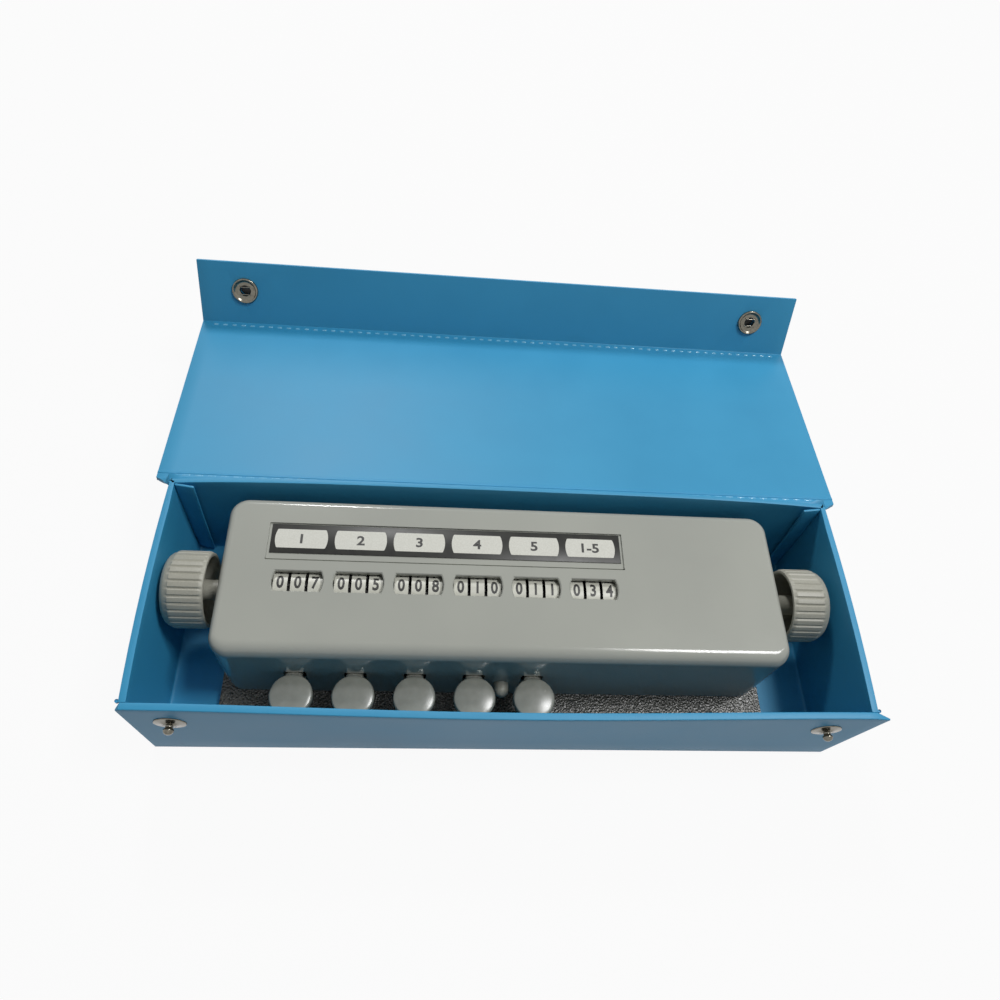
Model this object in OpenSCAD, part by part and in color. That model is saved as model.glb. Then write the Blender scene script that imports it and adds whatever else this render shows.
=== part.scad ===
// Differential cell counter in its folding case.
// Six three-wheel counters stand in a grey housing. Five press keys drive one
// counter each and together drive the sixth. A knob at each end resets them.
// Millimetres. X runs along the counter, Y away from the user, Z up.
// The origin is the centre of the case's underside.

/* [Counters] */
// Room between neighbouring counters, for a ratchet, a finger and a plate
row_gap = 3.35; // [2.95:0.05:6]
// Distance between neighbouring number wheels
wheel_pitch = 6.95; // [6.6:0.05:8]
// Gap between the rims of neighbouring number wheels
wheel_gap = 1.25; // [1.1:0.05:1.6]
// Radius of a number wheel
wheel_r = 10.4; // [9.4:0.1:11]
// Diameter of the two reset shafts
shaft_d = 5; // [4:0.1:6]
// Thickness of the bearing plates
plate_t = 1.6; // [1:0.1:1.8]
// Diameter of the rods that carry the levers and tie the plates
rod_d = 3; // [2.4:0.1:3.4]
// Diameter of the rod that carries the transfer pinions
pinion_rod_d = 2.4; // [2:0.1:2.6]
// Radial running clearance of every shaft and rod
run_gap = 0.05; // [0.02:0.01:0.09]

/* [Housing] */
// Room from the left end wall to the first bearing plate
left_bay = 19; // [18.6:0.2:30]
// Room from the last counter to the right end wall, for the bell
bell_bay = 68.4; // [67:0.2:90]
// Distance from the wheel shaft to the housing's front face
front_room = 31.4; // [30:0.2:36]
// Distance from the wheel shaft to the housing's back face
back_room = 37.1; // [36:0.1:44]
// Height of the housing above the base plate
housing_h = 44.6; // [44:0.2:50]
// Wall thickness of the housing
housing_wall = 2; // [1.6:0.1:2.6]
// Radius of the upright corners
corner_r = 7.7; // [5:0.1:11]
// Radius of the top edge at the front
front_round = 8; // [4:0.2:9]
// Radius of the top edges at the ends and the back
edge_round = 4.2; // [2:0.2:6]
// Height of a number window, along Y
window_h = 8.8; // [7:0.2:10]
// Width of the label strip, along Y
label_h = 13.3; // [9:0.1:15]
// Distance from the wheel shaft to the middle of the label strip
label_offset = 18.5; // [15:0.1:19]
// Depth of the pocket that the label strip lies in
label_pocket = 0.8; // [0.5:0.1:1.1]
// Thickness of the label strip
label_t = 0.4; // [0.2:0.1:0.5]
// Width of the bare ledge in front of the label strip
label_ledge = 3.3; // [1:0.1:4]

/* [Base] */
// Thickness of the base plate
base_t = 1.6; // [1.2:0.1:2.4]
// How far the base plate stands out past the housing's ends
base_lip = 1.9; // [0:0.1:2.4]
// How far the base plate reaches out in front of the housing
base_front = 19.3; // [19:0.1:26]
// Height of the rubber feet
foot_h = 1.6; // [1.4:0.1:4]
// Diameter of the rubber feet
foot_d = 12; // [8:0.5:16]
// Diameter of the screws in the base plate
screw_d = 3; // [2:0.1:3.4]

/* [Keys] */
// Diameter of a key cap
key_d = 16.9; // [12:0.1:17.6]
// Height of a key cap
key_h = 4.7; // [3:0.1:6]
// Distance from the housing's front face to a key's middle
key_reach = 10; // [9.4:0.1:10.6]
// Height of the levers' top face above the base plate
lever_top = 23.1; // [22:0.1:24]
// Width of a lever
lever_w = 6.8; // [5:0.1:7.4]
// Sheet thickness of a lever
lever_t = 0.8; // [0.5:0.1:1]
// Angle that a key turns through when it is pressed
key_swing = 5; // [3:0.5:5]
// Diameter of the button between the fourth and fifth keys
button_d = 6.2; // [4:0.1:7]
// How far that button stands out of the housing
button_out = 6.1; // [4:0.1:8]
// How far that button travels when it is pressed
button_travel = 3; // [1:0.1:3.4]

/* [Knobs] */
// Radius of a reset knob over its ribs
knob_r = 15.6; // [12:0.1:16.4]
// Length of a reset knob
knob_l = 16.5; // [12:0.1:22]
// Gap between the housing's end wall and a knob
knob_gap = 4.3; // [2:0.1:8]
// Ribs round a knob
knob_ribs = 32; // [12:1:48]

/* [Case] */
// Thickness of the case's walls and floor
case_wall = 2; // [1.4:0.1:3]
// Free space between each knob and the case's end wall
case_end_gap = 3.4; // [1.6:0.1:12]
// Free space behind the housing
case_back_gap = 0.9; // [0.5:0.1:5]
// Free space in front of the base plate
case_front_gap = 1.7; // [1.2:0.1:10]
// Free space above the knobs
case_top_gap = 1.4; // [1:0.1:8]
// How far the counter sits off the case's middle, along X
case_shift = -1.2; // [-1.4:0.1:1.4]
// How far the front wall stands out past the end walls
case_fin = 1.5; // [0:0.1:4]
// Thickness of the lid and the flap
lid_t = 1.6; // [1.2:0.1:2.4]
// How far the lid overhangs the case at each end
lid_side = 7.2; // [1:0.2:10]
// How far the lid's hinge line lies behind the case
lid_back = 4.1; // [3.4:0.1:8]
// How far the open lid's inner face lies below its hinge line
lid_drop = 2.1; // [1.6:0.1:2.6]
// Angle that the open lid slopes down behind the case
lid_slope = 6.4; // [0:0.1:15]
// Length of the front flap
flap_l = 30.7; // [26:0.1:34]
// Angle from the open lid's plane up to the flap
flap_angle = 68.7; // [0:0.1:85]
// Diameter of the snap fasteners
snap_d = 12.5; // [9:0.1:14]
// Distance from the flap's hinge line to the snap fasteners
snap_drop = 16.9; // [12:0.1:18]
// Distance from the case's ends to the snap fasteners
snap_inset = 14.5; // [12:0.1:30]
// Diameter of the ball on a snap stud
ball_d = 4; // [3:0.1:4.2]

/* [Hidden] */
$fn = 64;
eps = 0.01;
rest_gap = 0.2;                       // between a piece and the one it rests on
free_gap = 0.3;                       // between pieces that move past each other
digits = ["units", "tens", "hundreds"];
rows = 6;                             // the sixth counts the total
keys = 5;

// Levels, from the table up
foot_z = case_wall + rest_gap;
base_z = foot_z + foot_h;
deck_z = base_z + base_t;
roof_z = deck_z + housing_h;
shaft_z = roof_z - housing_wall - 0.4 - wheel_r;
lever_z = deck_z + lever_top;

// Lengths along X
row_pitch = 3 * wheel_pitch + row_gap;  // also from key to key
row_l = rows * row_pitch;
housing_l = left_bay + row_l + bell_bay;
wheel_w = wheel_pitch - wheel_gap;
stack_l = 2 * wheel_pitch + wheel_w;
case_w = housing_l + 2 * (knob_gap + knob_l + case_end_gap + case_wall);
mid_x = case_shift;
left_x = mid_x - housing_l / 2;
right_x = mid_x + housing_l / 2;
first_x = left_x + left_bay + row_pitch / 2;
rows_mid_x = first_x + row_pitch * (rows - 1) / 2;
bell_plate_x = right_x - 17.3;

// Lengths along Y, from the back of the case forwards
base_d = back_room + front_room + base_front;
case_d = base_d + case_back_gap + case_front_gap + 2 * case_wall;
back_y = case_d / 2 - case_wall - case_back_gap;
shaft_y = back_y - back_room;
front_y = shaft_y - front_room;
base_front_y = front_y - base_front;
key_y = front_y - key_reach;

// Inside the housing
gear_r = wheel_r - 1.4;
pinion_r = 3.2;
ratchet_r = 6.5;
pinion_y = shaft_y - 11.5;
pinion_z = shaft_z - (wheel_r + pinion_r - 1.1 > 11.5 ? sqrt(pow(wheel_r + pinion_r - 1.1, 2) - 132.25) : 0);
pivot_y = back_y - 9.3;
pivot_z = deck_z + 10.8;
plate_back_y = back_y - 4.3;
plate_front_y = pinion_y - 4.6;
plate_top_z = roof_z - housing_wall - 1.6;
spring_y = shaft_y + 2.8;
ratchet_x = wheel_pitch + wheel_w / 2;
ratchet_t = 1.1;
finger_t = 0.9;
finger_x = ratchet_x + 0.25;
finger_y = shaft_y + 14.4;
boss_in = 8;                          // from the housing's faces to its screws
boss_d = 8;
screw_grip = 10;                      // of the screws in the housing's bosses
screw_head = 1.2;

// Snap fasteners, of pressed sheet
snap_sheet = 0.6;
stud_d = snap_d - 0.5;
stud_boss_d = ball_d + snap_sheet;
stud_neck_d = ball_d - 1.2;
stud_reach = ball_d * 0.675;          // from the wall to the middle of the ball
socket_bore = ball_d + 1;
eyelet_d = snap_d - 2.5;
eyelet_shank = ball_d - 0.9;
rivet_d = ball_d * 0.4;
cap_h = 2.2;

// Key press, seen from the side
function swing_drop(y) = (pivot_y - y) * sin(key_swing);
lever_front_y = key_y - 4.8;
lever_bend_y = front_y + 4.2;
lever_low_y = pinion_y - 1.7;
lever_low_z = pinion_z - pinion_r - 6.7;
lever_back_y = pivot_y + 4;
function lever_sheet_z(y) = lever_low_z
    + (pivot_z + 2.7 - lever_low_z) * (y - lever_low_y) / (lever_back_y - lever_low_y);
function lever_under_z(y) = pivot_z - 3.2
    + (lever_low_z - 0.6 - pivot_z) * (lever_back_y - y) / (lever_back_y - lever_low_y);
bar_y = pivot_y - 13;
bar_z = lever_under_z(bar_y) - swing_drop(bar_y) - free_gap - 0.1 - rod_d / 2;

// Case and lid
case_h = max(shaft_z + knob_r, roof_z) + case_top_gap;
lid_w = case_w + 2 * lid_side;
lid_pivot_y = case_d / 2 + lid_back;
lid_pivot_z = case_h + free_gap - lid_drop;
lid_near = 1.2;
flap_stand = 3;                       // from the front wall to the closed flap's middle
lid_l = lid_pivot_y - lid_near + case_d / 2 + flap_stand;
flap_y = lid_near + lid_l;            // the flap's hinge line, from the lid's
flap_z = -lid_drop - lid_t / 2;
snap_x = case_w / 2 - snap_inset;
snap_z = lid_pivot_z + lid_drop + lid_t / 2 - snap_drop;

function row_x(row) = first_x + row * row_pitch;
function wheel_x(row, place) = row_x(row) + (1 - place) * wheel_pitch;
function wheel_name(row, place) =
    str("wheel_", row < keys ? str(row + 1) : "total", "_", digits[place]);

// ---------------------------------------------------------------- helpers

// Rectangle about the origin with round corners
module rounded(l, w, r) {
    square([l - 2 * r, w], center = true);
    square([l, w - 2 * r], center = true);
    for (x = [-1, 1], y = [-1, 1])
        translate([x * (l / 2 - r), y * (w / 2 - r)]) circle(r);
}

// Upright outline from x = 0 to w with its two top corners round
module round_topped(w, h, left_r, right_r) {
    square([w, h - max(left_r, right_r)]);
    translate([left_r, 0]) square([w - left_r - right_r, h]);
    square([left_r, h - left_r]);
    translate([left_r, h - left_r]) circle(left_r);
    translate([w - right_r, 0]) square([right_r, h - right_r]);
    translate([w - right_r, h - right_r]) circle(right_r);
}

// Turns an outline drawn in Y and Z into a solid from x to x + l
module along_x(x, l) {
    translate([x, 0, 0]) rotate([90, 0, 90]) linear_extrude(l) children();
}

// Round bar along X from x to x + l, through y and z
module bar_x(x, l, y, z, d) {
    translate([x, y, z]) rotate([0, 90, 0]) cylinder(d = d, h = l);
}

// Gear outline with plain tapered teeth
module gear(tip_r, teeth, depth) {
    root_r = tip_r - depth;
    step = 360 / teeth;
    polygon([for (tooth = [0:teeth - 1], corner = [0:3])
        let (a = step * (tooth + [0, 0.2, 0.45, 0.65][corner]),
             r = [root_r, tip_r, tip_r, root_r][corner])
        [r * cos(a), r * sin(a)]]);
}

// Ratchet outline with one leaning tooth for each digit
module ratchet_wheel(tip_r, depth) {
    polygon([for (tooth = [0:9], corner = [0:1])
        let (a = 36 * tooth + 6 * corner, r = tip_r - depth * corner)
        [r * cos(a), r * sin(a)]]);
}

// Middle line of a coil spring that stands on the origin
coil_steps = 8;
function coil_line(r, wire_r, h, turns) = [for (i = [0:turns * coil_steps])
    let (a = 360 * i / coil_steps)
    [r * cos(a), r * sin(a), wire_r + (h - 2 * wire_r) * i / turns / coil_steps]];

// Least gap between the turns of such a spring
function coil_gap(line, wire_r) = min([for (i = [0:len(line) - 1 - coil_steps / 2],
    j = [i + coil_steps / 2:len(line) - 1]) norm(line[i] - line[j])]) - 2 * wire_r;

// Coil spring standing on the origin, as one tube
module coil(r, wire_r, h, turns) {
    sides = 6;
    line = coil_line(r, wire_r, h, turns);
    count = len(line) - 1;
    ring = [for (i = [0:count], s = [0:sides - 1])
        let (a = 360 * i / coil_steps, b = 360 * s / sides)
        line[i] + wire_r * [cos(b) * cos(a), cos(b) * sin(a), sin(b)]];
    polyhedron(ring, concat(
        [for (i = [0:count - 1], s = [0:sides - 1])
            let (n = (s + 1) % sides, a = i * sides, b = a + sides)
            [a + s, b + s, b + n]],
        [for (i = [0:count - 1], s = [0:sides - 1])
            let (n = (s + 1) % sides, a = i * sides, b = a + sides)
            [a + s, b + n, a + n]],
        [for (s = [1:sides - 2]) [0, s, s + 1]],
        [for (s = [1:sides - 2])
            [count * sides, count * sides + s + 1, count * sides + s]]));
}

// Puts what is drawn in the lid's own frame where the open lid is
module on_lid() {
    translate([0, lid_pivot_y, lid_pivot_z]) rotate([-lid_slope, 0, 0]) children();
}

// The same for the flap: Y runs up the flap and +Z is its inner face
module on_flap() {
    on_lid() translate([0, flap_y, flap_z]) rotate([flap_angle, 0, 0]) children();
}

// ---------------------------------------------------------------- case

// Where the snap fasteners go through the front wall
module at_studs() {
    for (x = [-snap_x, snap_x])
        translate([x, -case_d / 2, snap_z]) rotate([90, 0, 0]) children();
}

module case_tray() {
    color("#3F86B0") difference() {
        union() {
            translate([-case_w / 2, -case_d / 2, 0]) cube([case_w, case_d, case_h]);
            translate([-case_w / 2 - case_fin, -case_d / 2, 0])
                cube([case_w + 2 * case_fin, case_wall, case_h]);
            // welded strip that the lid hangs on
            translate([-case_w / 2, case_d / 2 - eps, lid_pivot_z - 0.5])
                cube([case_w, lid_back - lid_t / 2 - free_gap + eps, 1]);
        }
        translate([-case_w / 2 + case_wall, -case_d / 2 + case_wall, case_wall])
            cube([case_w - 2 * case_wall, case_d - 2 * case_wall, case_h]);
        at_studs() translate([0, 0, -case_wall - eps])
            cylinder(d = eyelet_shank + 2 * run_gap, h = case_wall + 2 * eps);
    }
}

module case_lid() {
    color("#529EC0") on_lid() {
        translate([-lid_w / 2, lid_near, flap_z - lid_t / 2])
            cube([lid_w, lid_l - lid_t / 2 - free_gap, lid_t]);
        // hinge bead and the web that joins it to the lid
        bar_x(-case_w / 2, case_w, 0, 0, lid_t);
        along_x(-case_w / 2, case_w) polygon([
            [-0.4, 0], [0.4, 0], [lid_near + 0.4, -lid_drop],
            [lid_near + 0.4, -lid_drop - lid_t], [lid_near, -lid_drop - lid_t]]);
    }
}

module case_flap() {
    color("#2E76A0") on_flap() difference() {
        union() {
            translate([-lid_w / 2, 0, -lid_t / 2]) cube([lid_w, flap_l, lid_t]);
            bar_x(-lid_w / 2, lid_w, 0, 0, lid_t);
        }
        for (x = [-snap_x, snap_x]) translate([x, snap_drop, -lid_t])
            cylinder(d = socket_bore + 2, h = 2 * lid_t);
    }
}

module case_studs() {
    color("#C9C9C4") at_studs() {
        difference() {
            union() {
                cylinder(d = stud_d, h = snap_sheet);
                cylinder(d = stud_boss_d, h = 2 * snap_sheet);
                cylinder(d = stud_neck_d, h = stud_reach);
                translate([0, 0, stud_reach]) sphere(d = ball_d);
            }
            translate([0, 0, -eps]) cylinder(d = rivet_d + 2 * run_gap, h = rivet_d + 0.4);
        }
    }
}

module case_eyelets() {
    color("#C9C9C4") at_studs() {
        translate([0, 0, -case_wall - snap_sheet]) cylinder(d = eyelet_d, h = snap_sheet);
        translate([0, 0, -case_wall]) cylinder(d = eyelet_shank, h = case_wall - eps);
        translate([0, 0, -0.1]) cylinder(d = rivet_d, h = rivet_d + 0.1);
    }
}

module case_sockets() {
    color("#C9C9C4") on_flap() for (x = [-snap_x, snap_x])
        translate([x, snap_drop, 0]) difference() {
            union() {
                translate([0, 0, lid_t / 2]) cylinder(d = snap_d, h = snap_sheet + 0.4);
                translate([0, 0, -lid_t / 2])
                    cylinder(d = socket_bore + 2 - 2 * run_gap, h = lid_t + eps);
            }
            translate([0, 0, -lid_t]) cylinder(d = socket_bore, h = 3 * lid_t);
        }
}

module case_caps() {
    color("#3F86B0") on_flap() for (x = [-snap_x, snap_x])
        translate([x, snap_drop, -lid_t / 2]) difference() {
            intersection() {
                translate([0, 0, -cap_h]) cylinder(d = snap_d, h = cap_h);
                translate([0, 0, 1.6 * snap_d - cap_h]) sphere(r = 1.6 * snap_d);
            }
            translate([0, 0, snap_sheet + 0.3 - cap_h])
                cylinder(d = socket_bore, h = cap_h);
        }
}

// ---------------------------------------------------------------- housing

// The housing's form, drawn in from its outside by inset
module housing_form(inset) {
    l = housing_l - 2 * inset;
    d = back_room + front_room - 2 * inset;
    h = housing_h - inset;
    r = corner_r - inset;
    front_r = max(front_round - inset, 0.6);
    edge_r = max(edge_round - inset, 0.6);
    intersection() {
        translate([mid_x, (front_y + back_y) / 2, deck_z])
            linear_extrude(h) rounded(l, d, r);
        along_x(mid_x - l / 2, l)
            translate([front_y + inset, deck_z]) round_topped(d, h, front_r, edge_r);
        translate([mid_x - l / 2, back_y - inset, deck_z]) rotate([90, 0, 0])
            linear_extrude(d) round_topped(l, h, edge_r, edge_r);
    }
}

// Outline of one number window, with bowed ends
module window() {
    intersection() {
        square([stack_l + 1, window_h], center = true);
        circle(stack_l * 0.515);
    }
}

// The four places where screws hold the housing to the base plate
function boss_points() = [for (x = [left_x + boss_in, right_x - boss_in],
    y = [front_y + boss_in, back_y - boss_in]) [x, y]];

module housing() {
    color("#A9AAA2") difference() {
        union() {
            difference() {
                housing_form(0);
                translate([0, 0, -eps]) housing_form(housing_wall);
            }
            intersection() {
                housing_form(0);
                for (p = boss_points())
                    translate([p[0], p[1], deck_z]) cylinder(d = boss_d, h = housing_h);
            }
        }
        for (p = boss_points()) translate([p[0], p[1], deck_z - 1])
            cylinder(d = screw_d + 2 * run_gap, h = screw_grip + 3);
        for (row = [0:rows - 1])
            translate([row_x(row), shaft_y - 0.6, roof_z - housing_wall - 1])
                linear_extrude(housing_wall + 2) window();
        translate([rows_mid_x - label_l / 2 - 0.8, label_y - label_h / 2 - label_ledge,
                   roof_z - label_pocket])
            cube([label_l + 1.6, label_h + label_ledge + 0.4, 2]);
        for (key = [0:keys - 1])
            translate([row_x(key) - lever_w / 2 - 1.1, front_y - 1, slot_low_z])
                cube([lever_w + 2.2, housing_wall + 2, slot_high_z - slot_low_z]);
        translate([button_x, front_y - 1, button_z]) rotate([-90, 0, 0])
            cylinder(d = button_d + 4 * run_gap, h = housing_wall + 2);
        bar_x(left_x - 1, housing_l + 2, shaft_y, shaft_z, shaft_d + 1);
    }
}

label_l = row_l + 1.1;
label_y = shaft_y + label_offset;
slot_high_z = lever_z + 0.9;
slot_low_z = lever_z - 4.1 - swing_drop(front_y - 1) - 0.6;
button_x = row_x(3) + row_pitch / 2;
button_z = deck_z + 13.8;

module label_strip() {
    color("#1E1E1A")
        translate([rows_mid_x - label_l / 2, label_y - label_h / 2,
                   roof_z - label_pocket])
            cube([label_l, label_h, label_t]);
}

// ---------------------------------------------------------------- base

// Bearing plates stand between the counters, and one carries the right shaft
function plate_xs() = concat(
    [for (row = [0:rows]) first_x + (row - 0.5) * row_pitch], [bell_plate_x]);
function foot_tab_ys() = [plate_front_y + 8, pivot_y];
function tab_side(x) = x < bell_plate_x ? 1 : -1;
function tab_points() = [for (x = plate_xs(), y = foot_tab_ys())
    [x + 4.5 * tab_side(x), y]];
function screw_points() = concat(boss_points(), tab_points());

module base_plate() {
    l = housing_l + 2 * base_lip;
    color("#1C1C1A") difference() {
        translate([mid_x, back_y - base_d / 2, base_z])
            linear_extrude(base_t) rounded(l, base_d, 4);
        for (p = screw_points()) translate([p[0], p[1], base_z - 1])
            cylinder(d = screw_d + 4 * run_gap, h = base_t + 2);
    }
}

module rubber_feet() {
    color("#232323")
        for (x = [left_x + 12, right_x - 12], y = [base_front_y + 9, back_y - 20])
            translate([x, y, foot_z]) cylinder(d = foot_d, h = foot_h);
}

module base_screws() {
    color("#B8B8B2") for (p = screw_points()) translate([p[0], p[1], base_z]) {
        translate([0, 0, -screw_head]) cylinder(d = 2 * screw_d, h = screw_head);
        cylinder(d = screw_d, h = base_t + 1.5);
    }
    color("#B8B8B2") for (p = boss_points()) translate([p[0], p[1], base_z])
        cylinder(d = screw_d, h = base_t + screw_grip);
}

// ---------------------------------------------------------------- chassis

function tie_points() = [[plate_front_y + 4.6, deck_z + 3.4],
                         [plate_back_y - 7, plate_top_z - 4]];

module bearing_plates() {
    color("#B9BBB8") for (x = plate_xs()) {
        translate([x - plate_t / 2, 0, 0]) difference() {
            along_x(0, plate_t) polygon([
                [plate_front_y + 2.4, deck_z], [plate_front_y + 2.4, pinion_z - 7],
                [plate_front_y, pinion_z - 4.5], [plate_front_y, plate_top_z],
                [plate_back_y, plate_top_z], [plate_back_y, deck_z]]);
            bar_x(-1, plate_t + 2, shaft_y, shaft_z, shaft_d + 2 * run_gap);
            bar_x(-1, plate_t + 2, pinion_y, pinion_z, pinion_rod_d + 2 * run_gap);
            bar_x(-1, plate_t + 2, pivot_y, pivot_z, rod_d + 2 * run_gap);
            for (p = tie_points())
                bar_x(-1, plate_t + 2, p[0], p[1], rod_d + 2 * run_gap);
            // room for the total bar to swing
            translate([-1, bar_y - 4, bar_z - rod_d / 2 - 2.4])
                cube([plate_t + 2, 8, rod_d + 3.4]);
        }
        for (y = foot_tab_ys()) difference() {
            translate([tab_side(x) > 0 ? x : x - 8, y - 4.5, deck_z])
                cube([8, 9, plate_t]);
            translate([x + 4.5 * tab_side(x), y, deck_z - 1])
                cylinder(d = screw_d + 2 * run_gap, h = plate_t + 2);
        }
    }
}

module tie_rods() {
    l = bell_plate_x - plate_xs()[0];
    color("#B9BBB8") for (p = tie_points())
        bar_x(plate_xs()[0] - 3, l + 6, p[0], p[1], rod_d);
}

module key_rod() {
    color("#B9BBB8")
        bar_x(plate_xs()[0] - 6, row_l + 12, pivot_y, pivot_z, rod_d);
}

module pinion_rod() {
    color("#B9BBB8")
        bar_x(plate_xs()[0] - 3, row_l + 6, pinion_y, pinion_z, pinion_rod_d);
}

module transfer_pinions() {
    color("#D9CFA8") for (row = [0:rows - 1], side = [-0.5, 0.5])
        translate([row_x(row) + side * wheel_pitch, pinion_y, pinion_z])
            rotate([0, 90, 0]) difference() {
                union() {
                    translate([0, 0, -0.4]) linear_extrude(0.8) gear(pinion_r, 8, 0.9);
                    translate([0, 0, -2.2]) cylinder(r = pinion_rod_d / 2 + 0.6, h = 4.4);
                }
                translate([0, 0, -4]) cylinder(d = pinion_rod_d + 2 * run_gap, h = 8);
            }
}

// Leaf springs from the upper tie rod, one on each counter's ratchet
module detent_springs() {
    rod = tie_points()[1];
    tip = [shaft_y + (ratchet_r + 0.4) * cos(20), shaft_z + (ratchet_r + 0.4) * sin(20)];
    color("#C6C7C2") for (row = [0:rows - 1])
        translate([row_x(row) + finger_x, 0, 0]) difference() {
            union() {
                bar_x(0, 1, rod[0], rod[1], rod_d + 2);
                along_x(0, 1) polygon([
                    tip, rod - [0, 0.2], rod + [0, 0.2], tip + [0, 0.4]]);
            }
            bar_x(-1, 3, rod[0], rod[1], rod_d + 2 * run_gap);
        }
}

// Bent sheet finger that turns a ratchet, from z up to its hook, at x
module drive_finger(x, y, z) {
    hook_z = shaft_z - 2;
    translate([x, 0, 0]) {
        translate([0, y - 1.2, z]) cube([finger_t, 2.4, hook_z + 1.4 - z]);
        translate([0, shaft_y + ratchet_r + 1.9, hook_z - 1.4])
            cube([finger_t, y + 1.2 - shaft_y - ratchet_r - 1.9, 2.8]);
    }
}

module total_bar() {
    x0 = plate_xs()[0] - 4.6;
    x1 = plate_xs()[rows] + 4.6;
    color("#C6C7C2") {
        bar_x(x0, x1 - x0, bar_y, bar_z, rod_d);
        for (x = [x0 - 0.8, x1 - 0.8]) difference() {
            along_x(x, 1.6) polygon([
                [bar_y - 2, bar_z - 2], [bar_y - 2, bar_z + 2], [pivot_y - 1, pivot_z + 3.4],
                [pivot_y + 3.4, pivot_z + 3.4], [pivot_y + 3.4, pivot_z - 3.4],
                [bar_y + 2, bar_z - 2]]);
            bar_x(x - 1, 4, pivot_y, pivot_z, rod_d + 2 * run_gap);
        }
        drive_finger(row_x(keys) + finger_x, max(finger_y, bar_y + 0.6), bar_z);
    }
}

// ---------------------------------------------------------------- bell

bell_x = right_x - 38.3;
bell_y = shaft_y + 4.8;
gong_r = 20;
gong_t = 1.2;
gong_h = 9;
gong_z = deck_z + gong_h + 9.8;       // its top, clear of the screws and the shaft
post_d = 4;

// Radius of the gong's outside at the height that the hammer strikes
strike_z = gong_z - gong_h + 1.5;
strike_r = sqrt(pow(gong_r, 2) - pow(gong_r + strike_z - gong_z, 2));
head_r = 2;
hammer_l = 15;
hammer_x = bell_x - strike_r - head_r - 1.8;
hammer_y = bell_y + hammer_l;

module bell_gong() {
    color("#C9B98A") difference() {
        intersection() {
            translate([bell_x, bell_y, gong_z - gong_r]) sphere(gong_r, $fn = 96);
            translate([bell_x, bell_y, gong_z - gong_h]) cylinder(r = gong_r, h = gong_h);
        }
        translate([bell_x, bell_y, gong_z - gong_r]) sphere(gong_r - gong_t, $fn = 96);
        translate([bell_x, bell_y, deck_z])
            cylinder(d = post_d + 2 * run_gap, h = housing_h);
    }
}

module bell_posts() {
    color("#B9BBB8") {
        translate([bell_x, bell_y, deck_z]) {
            cylinder(d = post_d + 3, h = gong_z - gong_t - 0.6 - deck_z);
            cylinder(d = post_d, h = gong_z + 3 - deck_z);
            translate([0, 0, gong_z - deck_z]) cylinder(d = 2 * post_d, h = 2.4);
        }
        translate([hammer_x, hammer_y, deck_z]) {
            cylinder(d = 2 * rod_d, h = strike_z - head_r - free_gap - deck_z);
            cylinder(d = rod_d, h = strike_z + head_r + 1.5 - deck_z);
        }
    }
}

module bell_hammer() {
    color("#C6C7C2") difference() {
        union() {
            translate([hammer_x, hammer_y, strike_z - head_r])
                cylinder(d = 2 * rod_d, h = 2 * head_r);
            translate([0, 0, strike_z - 0.6]) linear_extrude(1.2) polygon([
                [hammer_x - 1.2, hammer_y], [hammer_x + 1.2, hammer_y],
                [hammer_x + 0.9, bell_y], [hammer_x - 0.9, bell_y]]);
            translate([hammer_x, bell_y, strike_z]) sphere(head_r);
        }
        translate([hammer_x, hammer_y, deck_z])
            cylinder(d = rod_d + 2 * run_gap, h = housing_h);
    }
}

// ---------------------------------------------------------------- number wheels

module number_wheel(row, place) {
    reach = wheel_pitch / 2 - 0.05;
    far = row_pitch / 2 - plate_t / 2 - wheel_pitch - 0.1;
    hub_left = place == 2 ? far : reach;
    hub_right = place == 0 ? far : reach;
    color("#D8D8CE") translate([wheel_x(row, place), shaft_y, shaft_z])
        rotate([0, 90, 0]) difference() {
            union() {
                difference() {
                    translate([0, 0, -wheel_w / 2]) cylinder(r = wheel_r, h = wheel_w);
                    for (z = [-wheel_w / 2 - 1, wheel_w / 2 - 1.4])
                        translate([0, 0, z]) difference() {
                            cylinder(r = wheel_r - 1.3, h = 2.4);
                            translate([0, 0, -1]) cylinder(r = shaft_d / 2 + 1.6, h = 5);
                        }
                }
                translate([0, 0, -hub_left])
                    cylinder(r = shaft_d / 2 + 1.2, h = hub_left + hub_right);
                // gear that the pinion turns, or the ratchet that the key drives
                if (place > 0) translate([0, 0, wheel_w / 2 - 1.5])
                    linear_extrude(1.5 + wheel_gap / 2 - 0.2) gear(gear_r, 20, 1);
                if (place == 0) translate([0, 0, wheel_w / 2 - 1.5])
                    linear_extrude(1.5 + ratchet_t) ratchet_wheel(ratchet_r, 1.3);
            }
            translate([0, 0, -20]) cylinder(d = shaft_d + 2 * run_gap, h = 40);
        }
}

// ---------------------------------------------------------------- reset shafts

// The shafts meet inside the plate between the fifth and sixth counters
meet_x = plate_xs()[keys];

// Grooved shaft from the knob inwards, l long, with a collar behind the end wall
module reset_shaft(l) {
    difference() {
        union() {
            cylinder(d = shaft_d, h = l);
            translate([0, 0, knob_l - 4 + knob_gap + housing_wall + free_gap])
                cylinder(d = shaft_d + 4, h = 3);
        }
        translate([-0.5, shaft_d / 2 - 0.6, knob_l + knob_gap + 6])
            cube([1, 2, l]);
    }
}

module reset_shaft_left() {
    x = left_x - knob_gap - knob_l + 4;
    color("#BFC1BE") translate([x, shaft_y, shaft_z]) rotate([0, 90, 0])
        reset_shaft(meet_x - 0.1 - x);
}

module reset_shaft_right() {
    x = right_x + knob_gap + knob_l - 4;
    color("#BFC1BE") translate([x, shaft_y, shaft_z]) rotate([0, -90, 0])
        reset_shaft(x - meet_x - 0.1);
}

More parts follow.
